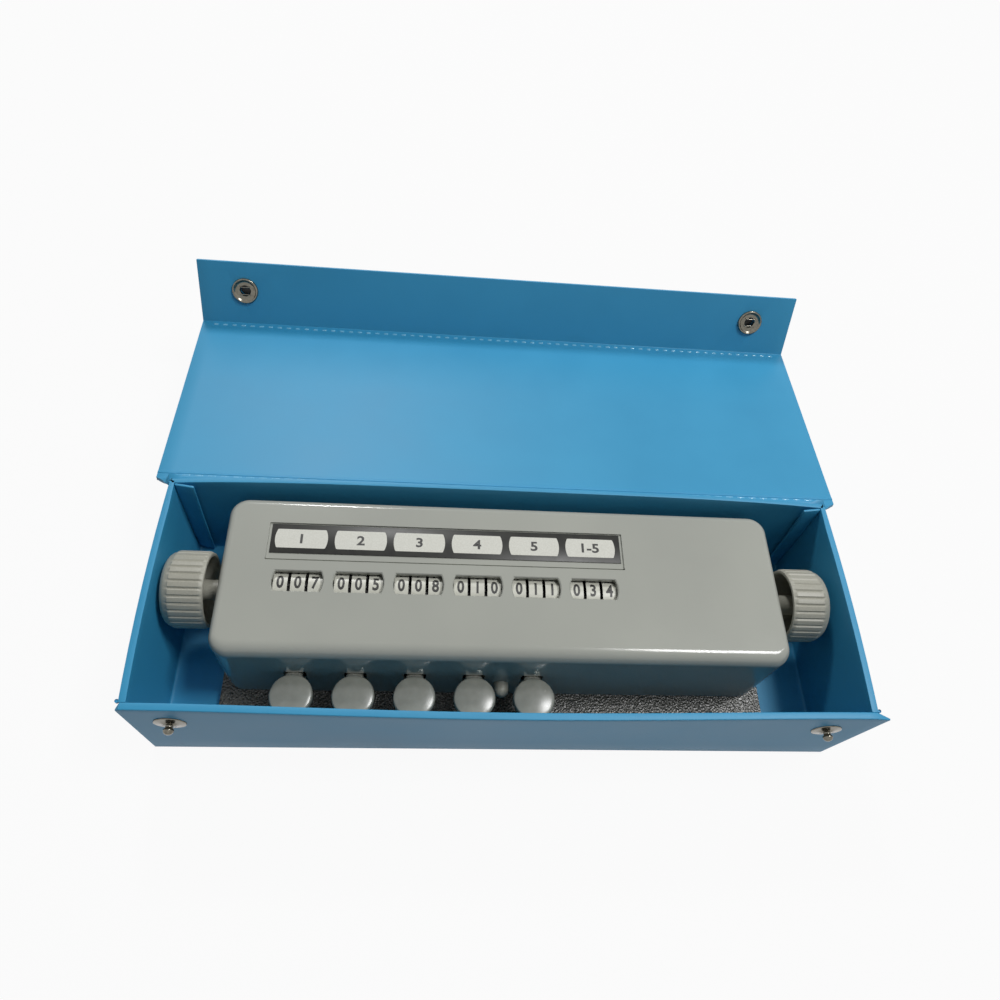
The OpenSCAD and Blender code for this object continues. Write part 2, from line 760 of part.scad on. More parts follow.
// Knob with its open end at z = 0 and its closed, rounded end at z = knob_l
module knob() {
    body_r = knob_r - 0.4;
    difference() {
        union() {
            difference() {
                rotate_extrude() {
                    square([body_r, knob_l - 4]);
                    square([body_r - 4, knob_l]);
                    translate([body_r - 4, knob_l - 4]) circle(4);
                }
                translate([0, 0, -1]) cylinder(r = body_r - 2, h = knob_l - 1.4);
            }
            cylinder(d = shaft_d + 5, h = knob_l - 1);
            for (rib = [0:knob_ribs - 1]) rotate([0, 0, 360 * rib / knob_ribs])
                translate([body_r - 0.3, -0.45, 2.6]) cube([0.7, 0.9, knob_l - 6.2]);
        }
        translate([0, 0, -1]) cylinder(d = shaft_d + 0.04, h = knob_l - 3 + eps);
    }
}

module knob_left() {
    color("#A5A59A") translate([left_x - knob_gap, shaft_y, shaft_z])
        rotate([0, -90, 0]) knob();
}

module knob_right() {
    color("#A5A59A") translate([right_x + knob_gap, shaft_y, shaft_z])
        rotate([0, 90, 0]) knob();
}

// ---------------------------------------------------------------- keys

// Top line of a lever, from under the cap back to its pivot
function lever_line() = [
    [lever_front_y, lever_z], [lever_bend_y, lever_z],
    [lever_low_y, lever_low_z], [lever_back_y, pivot_z + 2.7]];
function lowered(points, drop) = [for (p = points) [p[0], p[1] - drop]];
function backwards(points) = [for (i = [len(points) - 1:-1:0]) points[i]];

module key_lever(key) {
    line = lever_line();
    x = row_x(key - 1);
    color("#C6C7C2") {
        difference() {
            along_x(x - lever_w / 2, lever_w) polygon(concat(line,
                [[lever_back_y, pivot_z - 3.2]],
                backwards(lowered([line[0], line[1], line[2]], 3.8))));
            along_x(x - lever_w / 2 + lever_t, lever_w - 2 * lever_t) polygon(concat(
                lowered([line[0] - [1, 0], line[1], line[2], line[3] + [1, 0]], lever_t),
                [[lever_back_y + 1, 0], [lever_front_y - 1, 0]]));
            bar_x(x - lever_w, 2 * lever_w, pivot_y, pivot_z, rod_d + 2 * run_gap);
            translate([x, key_y, lever_z - 5]) cylinder(d = 3.1, h = 10);
        }
        // arm out to the ratchet and the finger that turns it
        arm_z = lever_sheet_z(finger_y) - 3.4;
        translate([x + lever_w / 2 - lever_t, finger_y - 3, arm_z])
            cube([finger_x + finger_t - lever_w / 2 + lever_t, 6, 1]);
        drive_finger(x + finger_x, finger_y, arm_z);
    }
}

module key_cap(key) {
    color("#8F8F87") translate([row_x(key - 1), key_y, lever_z]) {
        dome_r = (pow(key_d / 2 - 0.5, 2) + 1.69) / 2.6;
        intersection() {
            cylinder(d = key_d, h = key_h);
            translate([0, 0, key_h - dome_r]) sphere(dome_r, $fn = 128);
        }
        translate([0, 0, -2.6]) cylinder(d = 3, h = 3);
    }
}

spring_wire = 0.35;
spring_turns = 7;
spring_r = lever_w / 2 - lever_t - 0.75;
spring_l = lever_sheet_z(spring_y) - lever_t - free_gap - 0.1 - deck_z;
echo(str("least gap between a key spring's turns: ",
    coil_gap(coil_line(spring_r, spring_wire, spring_l, spring_turns), spring_wire)));

module key_spring(key) {
    color("#C6C7C2") translate([row_x(key - 1), spring_y, deck_z])
        coil(spring_r, spring_wire, spring_l, spring_turns);
}

// Peg between the fourth and fifth keys, with its flange behind the wall
module front_button() {
    color("#A9A9A1") translate([button_x, front_y, button_z]) rotate([90, 0, 0]) {
        translate([0, 0, button_out - button_d / 2]) sphere(d = button_d);
        translate([0, 0, -housing_wall - 6])
            cylinder(d = button_d, h = housing_wall + 6 + button_out - button_d / 2);
        translate([0, 0, -housing_wall - free_gap - 1.2])
            cylinder(d = button_d + 3, h = 1.2);
    }
}

// ---------------------------------------------------------------- build

case_tray();
case_lid();
case_flap();
case_studs();
case_eyelets();
case_sockets();
case_caps();
housing();
label_strip();
base_plate();
rubber_feet();
base_screws();
bearing_plates();
tie_rods();
key_rod();
pinion_rod();
transfer_pinions();
detent_springs();
total_bar();
bell_gong();
bell_posts();
bell_hammer();
front_button();
reset_shaft_left();
reset_shaft_right();
knob_left();
knob_right();
for (key = [1:keys]) {
    key_lever(key);
    key_cap(key);
    key_spring(key);
}
for (row = [0:rows - 1], place = [0:2])
    number_wheel(row, place);
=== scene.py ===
from math import cos, pi, radians, sin, tan
import bmesh
import bpy
from mathutils import Matrix, Vector


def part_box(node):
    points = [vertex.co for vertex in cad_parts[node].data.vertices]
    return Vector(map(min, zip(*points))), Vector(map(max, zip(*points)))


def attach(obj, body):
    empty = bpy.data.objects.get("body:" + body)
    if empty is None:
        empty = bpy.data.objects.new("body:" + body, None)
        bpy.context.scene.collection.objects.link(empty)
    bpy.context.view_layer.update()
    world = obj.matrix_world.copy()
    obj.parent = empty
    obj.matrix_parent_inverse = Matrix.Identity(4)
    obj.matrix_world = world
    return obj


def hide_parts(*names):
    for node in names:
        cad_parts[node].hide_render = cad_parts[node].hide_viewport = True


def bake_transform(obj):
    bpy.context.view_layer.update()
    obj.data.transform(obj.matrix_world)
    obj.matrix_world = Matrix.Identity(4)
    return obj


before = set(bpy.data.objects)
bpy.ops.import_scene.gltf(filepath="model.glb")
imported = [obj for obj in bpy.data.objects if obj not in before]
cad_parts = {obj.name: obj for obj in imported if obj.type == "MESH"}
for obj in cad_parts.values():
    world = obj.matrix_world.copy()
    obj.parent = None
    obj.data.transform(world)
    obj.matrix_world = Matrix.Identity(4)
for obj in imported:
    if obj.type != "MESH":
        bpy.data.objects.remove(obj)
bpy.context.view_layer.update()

# ---------------------------------------------------------------- case tray
# The tray is one piece of flexible PVC sheet, folded up into a floor, a back and
# two ends, with a front panel welded on. Its rims are cut and slightly soft, the
# walls bow outwards a little, and its back edge rolls over to the hinge line.

mm = 0.001
sheet = 2 * mm
wall_x, wall_y, rim_z = 142.5 * mm, 47.2 * mm, 54.2 * mm
tray_low, tray_high = Vector((-wall_x, -wall_y, 0)), Vector((wall_x, wall_y, rim_z))


def object_mode():
    """Leaves edit mode, if the step before this one ended in it."""
    if bpy.context.mode != "OBJECT":
        bpy.ops.object.mode_set(mode="OBJECT")


def only(piece):
    """Selects this piece alone, in object mode."""
    object_mode()
    bpy.ops.object.select_all(action="DESELECT")
    piece.select_set(True)
    bpy.context.view_layer.objects.active = piece


def placed(name):
    """Names the new primitive and puts its place into its mesh."""
    piece = bpy.context.active_object
    piece.name = piece.data.name = name
    bpy.ops.object.transform_apply(location=True, rotation=True, scale=True)
    return piece


def block(name, low, high):
    """Box between two corners."""
    object_mode()
    low, high = Vector(low), Vector(high)
    bpy.ops.mesh.primitive_cube_add(size=1, location=(low + high) / 2)
    bpy.context.active_object.scale = high - low
    return placed(name)


def round_bar(name, start, end, radius, sides=32):
    """Cylinder from one point to another."""
    object_mode()
    start, end = Vector(start), Vector(end)
    way = (end - start).to_track_quat("Z", "Y").to_euler()
    bpy.ops.mesh.primitive_cylinder_add(vertices=sides, radius=radius, depth=(end - start).length,
                                        location=(start + end) / 2, rotation=way)
    return placed(name)


def middle(part):
    """Middle of a corner, an edge or a face."""
    if isinstance(part, bmesh.types.BMVert):
        return part.co
    return sum((corner.co for corner in part.verts), Vector()) / len(part.verts)


def pick(kind, test):
    """Selects the corners, edges or faces in edit mode for which the test holds."""
    bpy.ops.object.mode_set(mode="EDIT")
    bpy.ops.mesh.select_mode(type=kind)
    bpy.ops.mesh.select_all(action="DESELECT")
    mesh = bmesh.from_edit_mesh(bpy.context.active_object.data)
    for part in {"VERT": mesh.verts, "EDGE": mesh.edges, "FACE": mesh.faces}[kind]:
        if test(part, middle(part)):
            part.select_set(True)
    mesh.select_flush_mode()
    bmesh.update_edit_mesh(bpy.context.active_object.data)


def near(a, b, room=0.01 * mm):
    """Whether two measures agree."""
    return abs(a - b) < room


def lies_along(edge, axis):
    """Whether an edge is parallel to axis 0, 1 or 2."""
    way = edge.verts[1].co - edge.verts[0].co
    return abs(way[axis]) > 0.99 * way.length


def modify(kind, **settings):
    """Adds a modifier to the active piece and applies it."""
    object_mode()
    change = bpy.context.active_object.modifiers.new(kind.lower(), kind)
    for name, value in settings.items():
        setattr(change, name, value)
    bpy.ops.object.modifier_apply(modifier=change.name)


def reshape(move):
    """Moves every corner of the active piece by a rule."""
    bpy.ops.object.mode_set(mode="OBJECT")
    for corner in bpy.context.active_object.data.vertices:
        corner.co = move(corner.co.copy())


def colour(code):
    """sRGB hex to the linear values that Blender reads."""
    parts = [int(code[i:i + 2], 16) / 255 for i in (1, 3, 5)]
    return [p / 12.92 if p < 0.04045 else ((p + 0.055) / 1.055) ** 2.4 for p in parts] + [1]


def add(material, kind, sockets=(), **settings):
    """Adds a node with its settings. A socket takes a value or a (node, output) pair."""
    tree = material.node_tree
    node = tree.nodes.new("ShaderNode" + kind)
    for name, value in settings.items():
        setattr(node, name, value)
    for name, value in dict(sockets).items():
        if isinstance(value, tuple) and isinstance(value[0], bpy.types.Node):
            tree.links.new(value[0].outputs[value[1]], node.inputs[name])
        else:
            node.inputs[name].default_value = value
    return node


def new_material(name, **shader):
    """Material with one shader, its constants set, and the node of object coordinates."""
    material = bpy.data.materials.new(name)
    material.use_nodes = True
    material.node_tree.nodes.clear()
    surface = add(material, "BsdfPrincipled", {k.replace("_", " "): v for k, v in shader.items()})
    add(material, "OutputMaterial", {"Surface": (surface, 0)})
    place = add(material, "TexCoord")
    return material, surface, place


def drive(material, surface, socket, node, output=0):
    """Lets a node set one of the shader's sockets."""
    material.node_tree.links.new(node.outputs[output], surface.inputs[socket])


def two_tones(material, pattern, dark, light, low=0.3, high=0.7):
    """Runs from a dark tone to a light one as a pattern rises from low to high."""
    tones = add(material, "ValToRGB", {"Fac": (pattern, 0)})
    for stop, position, code in zip(tones.color_ramp.elements, (low, high), (dark, light)):
        stop.position, stop.color = position, colour(code)
    return tones


def close_up(room):
    """Merges the corners of the active piece that meet, and turns its faces outwards."""
    bpy.ops.object.mode_set(mode="EDIT")
    bpy.ops.mesh.select_all(action="SELECT")
    bpy.ops.mesh.remove_doubles(threshold=room)
    bpy.ops.mesh.normals_make_consistent(inside=False)
    bpy.ops.object.mode_set(mode="OBJECT")


def settle(piece, body, material, smooth=35, mend=False):
    """Finishes a piece: its faces, its smoothing, its material and what it rides on."""
    only(piece)
    if mend:
        close_up(0.002 * mm)  # a wider room than this opens the mesh of the lid
    if smooth:
        bpy.ops.object.shade_smooth_by_angle(angle=radians(smooth))
    piece.data.materials.clear()
    piece.data.materials.append(material)
    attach(piece, body)
    bpy.ops.object.select_all(action="DESELECT")


# Calendered PVC: a low, soft sheen over a grain of 0.5 mm, drawn at 0.8 mm so
# that it shows, and slow changes of tone where the sheet was handled.
pvc_sheet, surface, place = new_material(
    "calendered PVC sheet", Roughness=0.42, IOR=1.53, Specular_IOR_Level=0.4)
tone = add(pvc_sheet, "TexNoise", {"Vector": (place, 3), "Scale": 1 / (45 * mm), "Detail": 3})
grain = add(pvc_sheet, "TexVoronoi", {"Vector": (place, 3), "Scale": 1 / (0.8 * mm), "Randomness": 0.9})
sag = add(pvc_sheet, "TexNoise", {"Vector": (place, 3), "Scale": 1 / (30 * mm), "Detail": 1})
drive(pvc_sheet, surface, "Base Color", two_tones(pvc_sheet, tone, "#3290BB", "#3997C2"))
drive(pvc_sheet, surface, "Roughness", add(pvc_sheet, "MapRange", {
    "Value": (tone, 0), "To Min": 0.44, "To Max": 0.54}))
fine = add(pvc_sheet, "Bump", {"Height": (grain, 0), "Strength": 0.08, "Distance": 0.06 * mm})
drive(pvc_sheet, surface, "Normal", add(pvc_sheet, "Bump", {
    "Height": (sag, 0), "Normal": (fine, 0), "Strength": 0.35, "Distance": 0.5 * mm}))

# The walls bow outwards from 8 mm above the floor, and fully so 45 mm higher up.
lean_from, lean_over = 8 * mm, 45 * mm
end_bow, front_bow, back_bow, back_lean, hem = 1.2 * mm, 1.9 * mm, 2.6 * mm, 2.2 * mm, 0.6 * mm


def bowed(p):
    """Pushes a wall outwards towards the middle of its rim, and thickens the rim's hem."""
    lift = min(1, max(0, (p.z - lean_from) / lean_over)) ** 1.5
    if abs(p.x) > 139 * mm and p.y < 45.5 * mm:
        side = 1 if p.x > 0 else -1
        thicker = hem if abs(p.x) < 141.2 * mm else 0
        p.x += side * (end_bow * (1 - (p.y / wall_y) ** 2) - thicker) * lift
    if p.y < -44 * mm:
        p.y -= front_bow * lift * (1 - min(1, abs(p.x) / wall_x) ** 2) ** 2
    if p.y > 44.5 * mm:
        p.y += (back_lean + back_bow * (1 - (p.x / wall_x) ** 4)) * lift
    return p


def cut_through(axis, *planes):
    """Adds a row of edges across the active piece at each plane, in mm."""
    normal = [(1, 0, 0), (0, 1, 0), (0, 0, 1)][axis]
    for plane in planes:
        pick("FACE", lambda f, m: True)
        bpy.ops.mesh.bisect(plane_co=[plane * mm * n for n in normal], plane_no=normal)


def cut_left_and_right(*planes):
    """Adds rows of edges at these distances to the left and to the right, in mm."""
    cut_through(0, *[side * x for side in (-1, 1) for x in planes])


front_in = tray_low.y + 2.8 * mm
tray = block("tray_sheet", (tray_low.x, front_in, 0), tray_high)
pick("FACE", lambda f, m: near(m.z, tray_high.z) or near(m.y, front_in))
bpy.ops.mesh.delete(type="FACE")
pick("EDGE", lambda e, m: near(m.z, 0) and not near(m.y, front_in))
bpy.ops.mesh.bevel(offset=3 * mm, segments=4, affect="EDGES")
pick("EDGE", lambda e, m: lies_along(e, 2) and m.y > 40 * mm and abs(m.x) > 140 * mm)
bpy.ops.mesh.bevel(offset=0.7 * mm, segments=2, affect="EDGES")
cut_left_and_right(5, 25, 45, 65, 85, 100, 110, 118, 125, 131, 135, 138)
cut_through(1, -36, -24, -12, 0, 12, 24, 36)
cut_through(2, 12, 20, 28, 36, 43, 48, 51)
modify("SOLIDIFY", thickness=sheet, offset=-1, use_even_offset=True)
modify("BEVEL", width=0.6 * mm, segments=3, limit_method="ANGLE", angle_limit=radians(60))
reshape(bowed)
settle(tray, "case", pvc_sheet, mend=True)
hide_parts("case_tray")

# ---------------------------------------------------------------- corner flaps
# At each back corner the end wall runs on as a flap, folded in against the back
# wall and welded there. Its cut edge stands off the wall and catches the light.

hands = ((-1, "left"), (1, "right"))
gusset_wide, gusset_high, stand_off = 8 * mm, 54 * mm, 1.1 * mm
for side, hand in hands:
    x = 140.3 * mm * side
    free = x - side * gusset_wide
    gusset = block(f"corner_flap_{hand}", (min(x, free), 44.2 * mm, 3 * mm),
                   (max(x, free), 45.3 * mm, gusset_high))
    cut_through(0, *[side * v for v in (134, 136, 138)])
    cut_through(2, 12, 20, 28, 36, 43, 48)
    # the free edge stands off the wall; the whole flap leans back with the wall
    reshape(lambda p: Vector((
        x - (x - p.x) * (0.85 + 0.15 * (p.z / gusset_high)),
        p.y - stand_off * min(1, abs(x - p.x) / gusset_wide)
        + back_lean * max(0, (p.z - lean_from) / lean_over) ** 1.5,
        p.z)))
    modify("BEVEL", width=0.4 * mm, segments=2, limit_method="ANGLE", angle_limit=radians(60))
    settle(gusset, "case", pvc_sheet)

# ---------------------------------------------------------------- front panel
# The front panel is a strip of the same sheet, welded to the edges of the tray.
# Its ends stand past the walls as thin fins, and the right one flares outwards.

panel = block("front_panel", (tray_low.x - 1 * mm, tray_low.y, 0),
              (tray_high.x + 1.5 * mm, front_in, tray_high.z))
cut_left_and_right(10, 30, 50, 70, 90, 105, 118, 128, 135, 139.5, 142)
cut_through(2, 12, 20, 28, 36, 43, 48, 51)
# the fins thin out towards their ends, and their top corners droop
fin_x = 143.1 * mm
pick("VERT", lambda v, m: abs(m.x) > fin_x and m.y > tray_low.y + 1 * mm)
bpy.ops.transform.translate(value=(0, -2.1 * mm, 0))
pick("VERT", lambda v, m: m.x > fin_x)
for corner in bmesh.from_edit_mesh(panel.data).verts:
    if corner.select:
        corner.co.x += 3.6 * mm * (corner.co.z / tray_high.z)
pick("VERT", lambda v, m: abs(m.x) > fin_x and m.z > 53 * mm)
bpy.ops.transform.translate(value=(0, 0, -1.2 * mm))
modify("BEVEL", width=0.8 * mm, segments=3, limit_method="ANGLE", angle_limit=radians(50))
reshape(bowed)
settle(panel, "case", pvc_sheet)
# small sunk nicks where the welds end
for side, hand in hands:
    x, y = side * 143.2 * mm, -43.9 * mm
    nick = round_bar(f"weld_end_{hand}", (x, y, 53 * mm), (x, y, 54.1 * mm), 0.7 * mm, 16)
    pick("FACE", lambda f, m: m.z > 54 * mm)
    bpy.ops.mesh.inset(thickness=0.2 * mm, depth=-0.5 * mm)
    settle(nick, "case", pvc_sheet)

# ---------------------------------------------------------------- lid and flap
# The lid and its flap are one stiffer sheet of PVC with a pressed fold between
# them. Its near edge turns up into the bead that hinges on the tray.

lid_x, lid_thick, fold_at, sheet_z = 149.7 * mm, 1.6 * mm, 101.5 * mm, -2.9 * mm
lid_tilt, flap_angle, flap_deep = radians(-6.4), radians(68.7), 29.8 * mm
hinge = Vector((0, 51.3 * mm, 52.4 * mm))
lid_way = Matrix.Translation(hinge) @ Matrix.Rotation(lid_tilt, 4, "X")
flap_way = lid_way @ Matrix.Translation((0, fold_at, sheet_z)) @ Matrix.Rotation(flap_angle, 4, "X")

# the flat middle of the sheet comes first, and is drawn out to both sides
flat_from, flat_to = 6 * mm, 60 * mm
lid = block("lid_sheet", (-lid_x, flat_from, sheet_z - 0.1 * mm), (lid_x, flat_to, sheet_z))
pick("FACE", lambda f, m: m.z < sheet_z - 0.01 * mm or abs(m.x) > 149 * mm or near(m.y, flat_from)
     or near(m.y, flat_to))
bpy.ops.mesh.delete(type="FACE")


def extend(last, steps):
    """Extrudes the outer edge of the sheet through a row of (y, z) steps in mm."""
    for y, z in steps:
        pick("EDGE", lambda e, m: lies_along(e, 0) and near(m.y, last[0]) and near(m.z, last[1]))
        bpy.ops.mesh.extrude_region_move(TRANSFORM_OT_translate={"value": (0, y * mm, z * mm)})
        last = (last[0] + y * mm, last[1] + z * mm)


# towards the hinge: two pressed lines, then the sheet turns up to its bead
extend((flat_from, sheet_z), [
    (-1.2, 0), (-0.25, 0.18), (-0.3, 0), (-0.2, -0.58), (-0.35, 0), (-0.2, 0.4), (-1.2, 0),
    (-0.2, -0.45), (-0.35, 0), (-0.2, 0.45), (-0.3, 0)])
web_from, web = 1.25, [(-0.45, 0.35), (-0.35, 0.8), (-0.35, 1.05), (-0.1, 0.7)]
extend((web_from * mm, sheet_z), web)
# towards the flap: the sheet runs on to the pressed crease and folds up round a
# tight radius
bend_r = 1.2 * mm
bend_y = fold_at - bend_r * tan(flap_angle / 2)
extend((flat_to, sheet_z), [
    ((bend_y - flat_to) / mm - 0.6, 0), (0.15, -0.5), (0.3, 0), (0.15, 0.5)])
bpy.ops.mesh.spin(steps=8, angle=-flap_angle, center=(0, bend_y, sheet_z + bend_r), axis=(1, 0, 0))
bpy.ops.mesh.extrude_region_move(TRANSFORM_OT_translate={
    "value": (0, flap_deep * cos(flap_angle), flap_deep * sin(flap_angle))})
cut_left_and_right(10, 30, 50, 70, 90, 110, 125, 138, 143)
# The web is only as wide as the tray. Past it the sheet runs out as a small ear
# that slants in to the tray's corner.
reach = web_from
for step, (back, _) in enumerate(web, 1):
    reach += back
    pick("VERT", lambda v, m: near(m.y, reach * mm) and abs(m.x) > 149 * mm)
    for corner in bmesh.from_edit_mesh(lid.data).verts:
        if corner.select:
            corner.co.x *= 1 - 0.0105 * step
            corner.co.y, corner.co.z = (web_from - 0.95 * step) * mm, sheet_z + 0.1 * step * mm
modify("SOLIDIFY", thickness=lid_thick, offset=0, use_even_offset=True)
modify("BEVEL", width=0.4 * mm, segments=2, limit_method="ANGLE", angle_limit=radians(60))
lid.data.transform(lid_way)


def cut(piece, tool):
    """Takes a tool away from a piece and removes the tool."""
    only(piece)
    modify("BOOLEAN", object=tool, operation="DIFFERENCE", solver="EXACT")
    bpy.data.objects.remove(tool, do_unlink=True)


# holes that the necks of the snap sockets go through
snap_x, snap_drop = 128 * mm, 16.9 * mm
for x in (-snap_x, snap_x):
    cut(lid, round_bar("snap_hole_tool", flap_way @ Vector((x, snap_drop, -2 * mm)),
                       flap_way @ Vector((x, snap_drop, 2 * mm)), 3.46 * mm, 48))
settle(lid, "lid", pvc_sheet, mend=True)
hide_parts("case_lid", "case_flap")
# a piece that bends across a joint has no parent
lid.parent = None
lid.matrix_world = Matrix.Identity(4)
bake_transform(lid)

# ---------------------------------------------------------------- weld marks
# The toothed electrode that welded the sheet has left a row of low, shiny pads
# along the fold, and a fainter row between the two lines at the hinge.

# Melted PVC: glassy and slightly lumpy at 1.2 mm. It is painted paler than the sheet, a painted
# highlight that makes the pads read as bright dots.
glazed, surface, place = new_material("glazed PVC weld", Roughness=0.1, IOR=1.53)
melt = add(glazed, "TexNoise", {"Vector": (place, 3), "Scale": 1 / (1.2 * mm), "Detail": 2})
# painted highlight: the pads are toned paler than the sheet round them
drive(glazed, surface, "Base Color", two_tones(glazed, melt, "#5CABD0", "#7CC3E2"))
drive(glazed, surface, "Normal", add(glazed, "Bump", {
    "Height": (melt, 0), "Strength": 0.25, "Distance": 0.08 * mm}))


def weld_row(name, y, pitch, pad, rise):
    """Row of rounded pads across the lid, at y in the lid's own frame."""
    top = sheet_z + lid_thick / 2
    count = int(2 * 147 * mm / pitch)
    x = -pitch * (count - 1) / 2
    row = block(name, (x - pad.x / 2, y - pad.y / 2, top - 0.2 * mm),
                (x + pad.x / 2, y + pad.y / 2, top + rise))
    pick("FACE", lambda f, m: near(m.z, top + rise))
    bpy.ops.transform.resize(value=(0.6, 0.35, 1), center_override=(x, y, top))
    pick("EDGE", lambda e, m: m.z > top)
    bpy.ops.mesh.bevel(offset=0.12 * mm, segments=2, affect="EDGES")
    modify("ARRAY", count=count, use_relative_offset=False, use_constant_offset=True,
           constant_offset_displace=(pitch, 0, 0))
    row.data.transform(lid_way)
    settle(row, "lid", glazed, smooth=60)


weld_row("fold_weld", fold_at - 2.5 * mm, 4.4 * mm, Vector((2.5, 1.5)) * mm, 0.26 * mm)
weld_row("hinge_weld", 3.0 * mm, 5.3 * mm, Vector((4.2, 0.9)) * mm, 0.2 * mm)

# ---------------------------------------------------------------- housing
# The housing is a pressed steel cover in baked grey enamel: large soft edges, six
# windows with bowed ends, a sunk field for the label strip, a slot for each key lever.

left_x, right_x, front_y, back_y = -117.5 * mm, 115.1 * mm, -24.2 * mm, 44.3 * mm
deck_z, roof_z, shaft_y, shaft_z = 5.4 * mm, 50 * mm, 7.2 * mm, 37.2 * mm
rows = [(-86.4 + 24.2 * row) * mm for row in range(6)]

cover = block("housing_cover", (left_x, front_y, deck_z), (right_x, back_y, roof_z))
pick("FACE", lambda f, m: near(m.z, deck_z))
bpy.ops.mesh.delete(type="ONLY_FACE")
pick("EDGE", lambda e, m: lies_along(e, 2))
bpy.ops.mesh.bevel(offset=7.7 * mm, segments=12, affect="EDGES")
bpy.ops.object.mode_set(mode="OBJECT")
weights = cover.data.attributes.new("bevel_weight_edge", "FLOAT", "EDGE")
# the roof's edges are 4.2 mm soft, and the front one 3.3 mm more
edge_soft, front_more, widest = 4.2, 3.3, 8
for edge in cover.data.edges:
    start, end = [cover.data.vertices[i].co for i in edge.vertices]
    if min(start.z, end.z) > roof_z - 0.01 * mm:
        front = abs((end - start).normalized().x) if (start.y + end.y) / 2 < 0 else 0
        weights.data[edge.index].value = (edge_soft + front_more * front ** 2) / widest
modify("BEVEL", width=widest * mm, segments=10, limit_method="WEIGHT", affect="EDGES")
modify("SOLIDIFY", thickness=2 * mm, offset=-1, use_even_offset=True)

# the field for the strip: 0.8 mm deep, with a soft step all round
field = block("field_tool", (-100.1 * mm, 15.75 * mm, roof_z - 0.8 * mm),
              (48.3 * mm, 32.75 * mm, roof_z + 1 * mm))
pick("FACE", lambda f, m: near(m.z, roof_z + 1 * mm))
bpy.ops.transform.translate(value=(0, 0, -1.1 * mm))
bpy.ops.mesh.extrude_region_move(TRANSFORM_OT_translate={"value": (0, 0, 0.2 * mm)})
bpy.ops.transform.resize(value=(1.004, 1.03, 1), center_override=(-25.9 * mm, 24.25 * mm, 0))
cut(cover, field)
cut(cover, block("groove_tool", (-100.3 * mm, 15.9 * mm, roof_z - 1.4 * mm),
                 (48.5 * mm, 16.5 * mm, roof_z + 1 * mm)))


def trim(y, half):
    """Cuts the active disc straight on both sides of y, so that its ends stay bowed."""
    for side in (-1, 1):
        pick("FACE", lambda f, m: True)
        bpy.ops.mesh.bisect(plane_co=(0, y + side * half, 0), plane_no=(0, side, 0),
                            clear_outer=True, use_fill=True)


window_y, window_r, window_half = 6.6 * mm, 10.09 * mm, 4.4 * mm
for x in rows:
    window = round_bar("window_tool", (x, window_y, roof_z - 4 * mm),
                       (x, window_y, roof_z - 0.4 * mm), window_r, 64)
    trim(window_y, window_half)
    pick("FACE", lambda f, m: near(m.z, roof_z - 0.4 * mm))
    bpy.ops.mesh.extrude_region_move(TRANSFORM_OT_translate={"value": (0, 0, 0.5 * mm)})
    bpy.ops.transform.resize(value=(1.05, 1.1, 1), center_override=(x, window_y, 0))
    cut(cover, window)
slot_half, slot_low, slot_high = 4.5 * mm, 18.55 * mm, 29.4 * mm
for x in rows[:5]:
    slot = block("slot_tool", (x - slot_half, front_y - 1 * mm, slot_low),
                 (x + slot_half, front_y + 3 * mm, slot_high))
    pick("EDGE", lambda e, m: lies_along(e, 1))
    bpy.ops.mesh.bevel(offset=0.7 * mm, segments=3, affect="EDGES")
    cut(cover, slot)
peg_x, peg_z = -1.7 * mm, 19.2 * mm
cut(cover, round_bar("peg_tool", (peg_x, front_y - 1 * mm, peg_z),
                     (peg_x, front_y + 3 * mm, peg_z), 3.2 * mm, 48))
cut(cover, round_bar("shaft_tool", (left_x - 1 * mm, shaft_y, shaft_z),
                     (right_x + 1 * mm, shaft_y, shaft_z), 3 * mm, 48))

# Baked enamel: an even gloss with a faint orange peel of 1.5 mm, and the slow
# change of tone that a sprayed coat has.
enamel, surface, place = new_material(
    "baked grey enamel", Roughness=0.14, IOR=1.5, Specular_IOR_Level=0.42)
peel = add(enamel, "TexNoise", {"Vector": (place, 3), "Scale": 1 / (1.5 * mm), "Detail": 2})
tone = add(enamel, "TexNoise", {"Vector": (place, 3), "Scale": 1 / (60 * mm), "Detail": 3})
drive(enamel, surface, "Base Color", two_tones(enamel, tone, "#A2A49C", "#AAACA3"))
drive(enamel, surface, "Roughness", add(enamel, "MapRange", {
    "Value": (peel, 0), "To Min": 0.12, "To Max": 0.18}))
drive(enamel, surface, "Normal", add(enamel, "Bump", {
    "Height": (peel, 0), "Strength": 0.1, "Distance": 0.05 * mm}))
settle(cover, "counter", enamel, smooth=30)
only(cover)
modify("WEIGHTED_NORMAL", weight=80, keep_sharp=True)
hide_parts("housing")

# ---------------------------------------------------------------- label strip
# A strip of black laminate lies in the field, with six pale fields with bowed
# ends printed on it, one over each counter. Each holds a plain number here.

strip_low, strip_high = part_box("label_strip")
strip = block("label_laminate", strip_low, strip_high)
modify("BEVEL", width=0.12 * mm, segments=2, limit_method="ANGLE")
# Printed laminate: near black and satin, with a faint mottle of 4 mm.
laminate, surface, place = new_material(
    "black printed laminate", Roughness=0.35, IOR=1.5, Specular_IOR_Level=0.35)
mottle = add(laminate, "TexNoise", {"Vector": (place, 3), "Scale": 1 / (4 * mm), "Detail": 4})
drive(laminate, surface, "Base Color", two_tones(laminate, mottle, "#10110E", "#1B1C17", 0.35, 0.65))
drive(laminate, surface, "Roughness", add(laminate, "MapRange", {
    "Value": (mottle, 0), "To Min": 0.32, "To Max": 0.44}))
drive(laminate, surface, "Normal", add(laminate, "Bump", {
    "Height": (mottle, 0), "Strength": 0.06, "Distance": 0.05 * mm}))
settle(strip, "counter", laminate)
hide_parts("label_strip")

